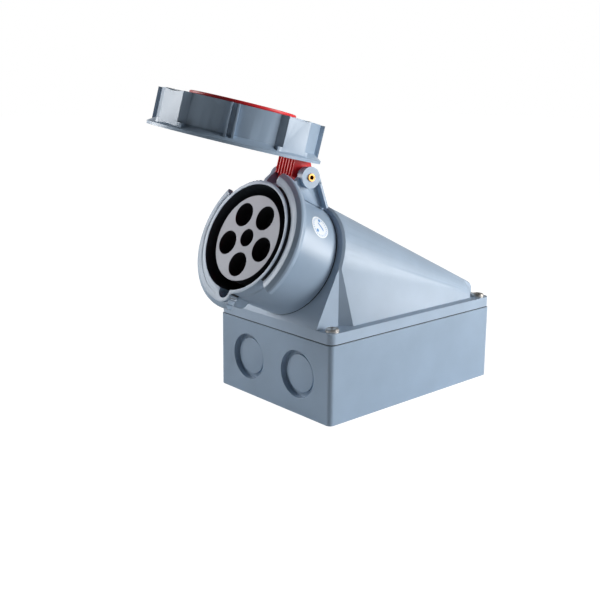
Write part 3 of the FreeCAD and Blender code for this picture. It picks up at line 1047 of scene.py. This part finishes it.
    def round_rim(self, shell: Object) -> None:
        """Rounds the front rim of the mouth more than the other edges.

        Args:
            shell: The barrel's piece.
        """
        shape = bmesh.new()
        shape.from_mesh(shell.data)
        back = BARREL.inverted()
        rim = [edge for edge in shape.edges
               if all((back @ vert.co).z > self.rim_front - SLACK for vert in edge.verts)
               and edge.calc_face_angle(0.0) > self.rim_turn]
        bmesh.ops.bevel(shape, geom=rim, offset=self.rim_round, segments=self.rim_steps, profile=0.5,
                        affect="EDGES", clamp_overlap=True, material=-1)
        shape.to_mesh(shell.data)
        shape.free()
        shell.data.set_sharp_from_angle(angle=self.rim_sharp)

    def face(self) -> None:
        """Dresses the contact face: grey front, black holes and side."""
        plate = self.softened("contact_face", Slot.FACE, self.plate_edge)
        plate.data.materials.append(self.finishes[Slot.BLACK])
        out = (BARREL.to_3x3() @ Vector((0, 0, 1))).normalized()
        for face in plate.data.polygons:
            if abs(face.normal.dot(out)) < self.side_on:
                face.material_index = 1

    def sticker(self) -> None:
        """Makes the round sticker and bends it round the barrel."""
        shape = bmesh.new()
        bmesh.ops.create_circle(shape, cap_ends=True, cap_tris=False, radius=self.sticker_radius,
                                segments=self.sticker_steps)
        bmesh.ops.subdivide_edges(shape, edges=shape.edges[:], cuts=1, use_grid_fill=True)
        half = self.sticker_slices // 2
        for number in range(1 - half, half):
            cut = Vector((number * self.sticker_radius / half, 0, 0))
            bmesh.ops.bisect_plane(shape, geom=shape.verts[:] + shape.edges[:] + shape.faces[:],
                                   plane_co=cut, plane_no=(1, 0, 0), dist=MERGE)
        layer = shape.loops.layers.uv.new("sticker")
        width = 2 * self.sticker_radius
        for face in shape.faces:
            for loop in face.loops:
                loop[layer].uv = (loop.vert.co.x / width + 0.5, loop.vert.co.y / width + 0.5)
        out = self.radius + self.sticker_lift
        for vert in shape.verts:
            angle = math.radians(self.sticker_turn) + vert.co.x / out
            vert.co = Vector((out * math.cos(angle), out * math.sin(angle), self.sticker_back - vert.co.y))
        bmesh.ops.recalc_face_normals(shape, faces=shape.faces)
        thing = self.piece("round_sticker", shape, Slot.GREY, BARREL)
        thing.data.materials[0] = Label("sticker_print", "sticker").make()


@dataclass
class Lid(SubAssembly):
    """The red lid with its cover disc, seal and screw."""

    body: Body = Body.LID
    edge: float = 0.0004

    # The arm's ribs and the grooves between them
    arm_half: float = 0.0102
    arm_inner: float = 0.0422
    arm_rib: float = 0.0011
    arm_ribs: int = 6
    arm_groove: float = 0.0016
    groove_low: float = -0.0225
    groove_high: float = 0.003

    # The disc on top, and the neck that the ring turns round
    neck_low: float = 0.01245
    neck_radius: float = 0.0324
    disc_low: float = 0.0161
    disc_high: float = 0.0182
    disc_radius: float = 0.035
    disc_round: float = 0.0007
    disc_steps: int = 96

    def build(self) -> None:
        """Makes and dresses the lid."""
        self.softened("lid_body", Slot.RED, self.edge, cutters=[self.arm_grooves()])
        self.keep(Slot.RUBBER, "lid_seal")
        self.keep(Slot.STEEL, "lid_screw")
        neck, wide, low, high = self.neck_radius, self.disc_radius, self.disc_low, self.disc_high
        outline = [(0.0, self.neck_low), (neck, self.neck_low), (neck, low), (wide, low), (wide, high),
                   (0.0, high)]
        disc = self.piece("lid_disc", self.turned(outline, self.disc_steps, self.disc_round), Slot.RED, LID)
        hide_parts("lid_cover")

    def arm_grooves(self) -> BMesh:
        """The grooves between the arm's fine ribs, as one cutter.

        Returns:
            The cutter, in place.
        """
        step = 2 * self.arm_half / self.arm_ribs
        low, high = self.groove_low, self.groove_high
        size = Vector((step - self.arm_rib, self.arm_groove * 2, high - low))
        cutter = bmesh.new()
        for number in range(self.arm_ribs):
            across = -self.arm_half + (number + 0.5) * step
            self.join(cutter, self.bar(size, Vector((across, self.arm_inner, (low + high) / 2))))
        return self.moved(cutter, LID)


@dataclass
class BayonetRing(SubAssembly):
    """The grey grip ring that turns round the lid."""

    body: Body = Body.RING
    edge: float = 0.0005
    wall: float = 0.0518

    # The grip lobes: half of each at its foot and at its top, and the first one's place, in degrees
    lobes: int = 4
    lobe_first: float = 11.0
    lobe_half: float = 13.5
    lobe_top_half: float = 9.6
    lobe_flat: float = 0.0548
    lobe_low: float = -0.0030
    lobe_high: float = 0.0170

    # How far the wedges that cut the flanks run past them; far_turn is in radians
    foot_clear: float = 0.0002
    flank_runs: float = 1.6
    far_turn: float = 0.03
    far_clear: float = 0.004

    def build(self) -> None:
        """Makes and dresses the ring."""
        self.softened("bayonet_ring", Slot.GREY, self.edge, cutters=[self.lobe_slopes()])

    def lobe_slopes(self) -> BMesh:
        """The wedges that give the grip lobes their sloping flanks, as one cutter.

        Returns:
            The cutter, in place.
        """
        foot, top = math.radians(self.lobe_half), math.tan(math.radians(self.lobe_top_half))
        start = Vector((math.cos(foot), math.sin(foot))) * (self.wall + self.foot_clear)
        run = Vector((self.lobe_flat, self.lobe_flat * top)) - start
        far = start + run * self.flank_runs
        past = foot + self.far_turn
        out = Vector((math.cos(past), math.sin(past))) * (self.lobe_flat + self.far_clear)
        cutter = bmesh.new()
        for number in range(self.lobes):
            turn = Matrix.Rotation(math.radians(self.lobe_first + number * 360.0 / self.lobes), 4, "Z")
            for side in (1, -1):
                corners = [(point.x, side * point.y) for point in (start, far, out)]
                self.join(cutter, self.moved(self.prism(corners, self.lobe_low, self.lobe_high), turn))
        return self.moved(cutter, LID)


@dataclass(frozen=True)
class SoftBox:
    """A square lamp that hangs at one place and points at another."""

    name: str
    at: tuple[float, float, float]
    aim: tuple[float, float, float]
    size: float
    watts: float

    def hang(self) -> None:
        """Adds the lamp to the scene."""
        light = bpy.data.lights.new(self.name, "AREA")
        light.shape = "SQUARE"
        light.size = self.size
        light.energy = self.watts
        thing = bpy.data.objects.new(self.name, light)
        line = Vector(self.aim) - Vector(self.at)
        thing.matrix_world = Matrix.Translation(self.at) @ line.to_track_quat("-Z", "Y").to_matrix().to_4x4()
        bpy.context.scene.collection.objects.link(thing)


@dataclass
class Studio:
    """Floor, lamps, world and the camera of the photograph."""

    camera_at: Vector = field(default_factory=lambda: Vector((0.4418, -0.45595, 0.2157)))
    camera_line: Vector = field(default_factory=lambda: Vector((-0.7368, 0.6489, -0.1898)))
    roll: float = math.radians(0.4)
    lens: float = 52.13
    sensor: float = 36.0
    shift: tuple[float, float] = (0.01515, -0.0713)
    near_clip: float = 0.01

    # The floor, and how far a white glow takes its place for the camera
    floor_size: float = 6.0
    floor_drop: float = 0.0002
    floor_colour: Colour = (0.86, 0.87, 0.88)
    floor_roughness: float = 0.9
    floor_specular: float = 0.1
    floor_glow: float = 1.22
    floor_glow_share: float = 0.82
    boxes: tuple[SoftBox, ...] = (
        SoftBox("right_box", at=(1.0, 0.8, 0.36), aim=(0.0, 0.0, 0.08), size=0.7, watts=20.0),
        SoftBox("left_box", at=(-1.0, -0.6, 0.5), aim=(0.0, -0.05, 0.08), size=0.7, watts=9.0),
        SoftBox("low_box", at=(-0.35, -0.7, 0.03), aim=(-0.02, -0.08, 0.0), size=0.3, watts=0.9),
    )

    # The world's level by height of view, its dim side in X and Y, and what each kind of ray gets
    horizon: float = 0.04
    overhead: float = 0.55
    overhead_level: float = 0.12
    dim_side: tuple[float, float] = (0.74, -0.65)
    dim_share: float = 0.5
    diffuse_level: float = 0.2
    glossy_rise: float = 0.7

    def build(self) -> None:
        """Sets up everything that isn't part of the object."""
        self.camera()
        self.floor()
        for box in self.boxes:
            box.hang()
        self.world()
        bpy.context.scene.view_settings.view_transform = "Standard"

    def camera(self) -> None:
        """Places the camera where the photograph was taken from."""
        view = bpy.data.cameras.new("camera")
        view.sensor_width = self.sensor
        view.lens = self.lens
        view.shift_x, view.shift_y = self.shift
        view.clip_start = self.near_clip
        thing = bpy.data.objects.new("camera", view)
        turn = self.camera_line.to_track_quat("-Z", "Y").to_matrix().to_4x4()
        thing.matrix_world = Matrix.Translation(self.camera_at) @ turn @ Matrix.Rotation(self.roll, 4, "Z")
        bpy.context.scene.collection.objects.link(thing)
        bpy.context.scene.camera = thing

    def floor(self) -> None:
        """Lays a pale floor that shows white to the camera and keeps a soft shadow."""
        shape = bmesh.new()
        bmesh.ops.create_grid(shape, x_segments=1, y_segments=1, size=self.floor_size)
        mesh = bpy.data.meshes.new("floor")
        shape.to_mesh(mesh)
        shape.free()
        thing = bpy.data.objects.new("floor", mesh)
        thing.location.z = -self.floor_drop
        bpy.context.scene.collection.objects.link(thing)
        finish = Finish("floor_paper")
        finish.feed("Base Color", self.floor_colour)
        finish.feed("Roughness", self.floor_roughness)
        finish.feed("Specular IOR Level", self.floor_specular)
        paper = Value(finish.tree, finish.shader.outputs[0])
        glow = finish.node("ShaderNodeEmission", Color=(1.0, 1.0, 1.0), Strength=self.floor_glow)
        share = finish.node("ShaderNodeLightPath", output="Is Camera Ray") * self.floor_glow_share
        mixed = finish.node("ShaderNodeMixShader", Fac=share, Shader=paper, Shader_001=glow)
        end = next(node for node in finish.tree.nodes if node.type == "OUTPUT_MATERIAL")
        finish.fill(end.inputs["Surface"], mixed)
        mesh.materials.append(finish.material)

    def world(self) -> None:
        """Makes a world that is white to the camera and low down, and dim overhead and on the dim side."""
        world = bpy.data.worlds.new("studio")
        world.use_nodes = True
        bpy.context.scene.world = world
        nodes = Nodes(world.node_tree)
        x, y, z = nodes.axes(nodes.node("ShaderNodeTexCoord", output="Generated"))
        level = nodes.node("ShaderNodeMapRange", Value=z, From_Min=self.horizon, From_Max=self.overhead,
                           To_Min=1.0, To_Max=self.overhead_level)
        toward = x * self.dim_side[0] + y * self.dim_side[1]
        sky = level * (1.0 - toward.at_least(0.0) * self.dim_share)
        camera, glossy, through = (nodes.node("ShaderNodeLightPath", output=f"Is {ray} Ray")
                                   for ray in ("Camera", "Glossy", "Transmission"))
        strength = sky * (self.diffuse_level + glossy.at_least(through) * self.glossy_rise)
        background = next(node for node in world.node_tree.nodes if node.type == "BACKGROUND")
        nodes.fill(background.inputs["Color"], (1.0, 1.0, 1.0))
        nodes.fill(background.inputs["Strength"], strength.at_least(camera))


def main() -> None:
    """Builds the socket and its studio, and reports each part."""
    logging.basicConfig(level=logging.INFO, format="%(name)s: %(message)s")
    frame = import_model()
    finishes = Palette().materials()
    for maker in (BackBox, Hood, Barrel, Lid, BayonetRing):
        maker(frame["nodes"], finishes).build()
        LOG.info("built %s", maker.__name__)
    Studio().build()
    LOG.info("set up the studio")


if __name__ == "__main__":
    main()
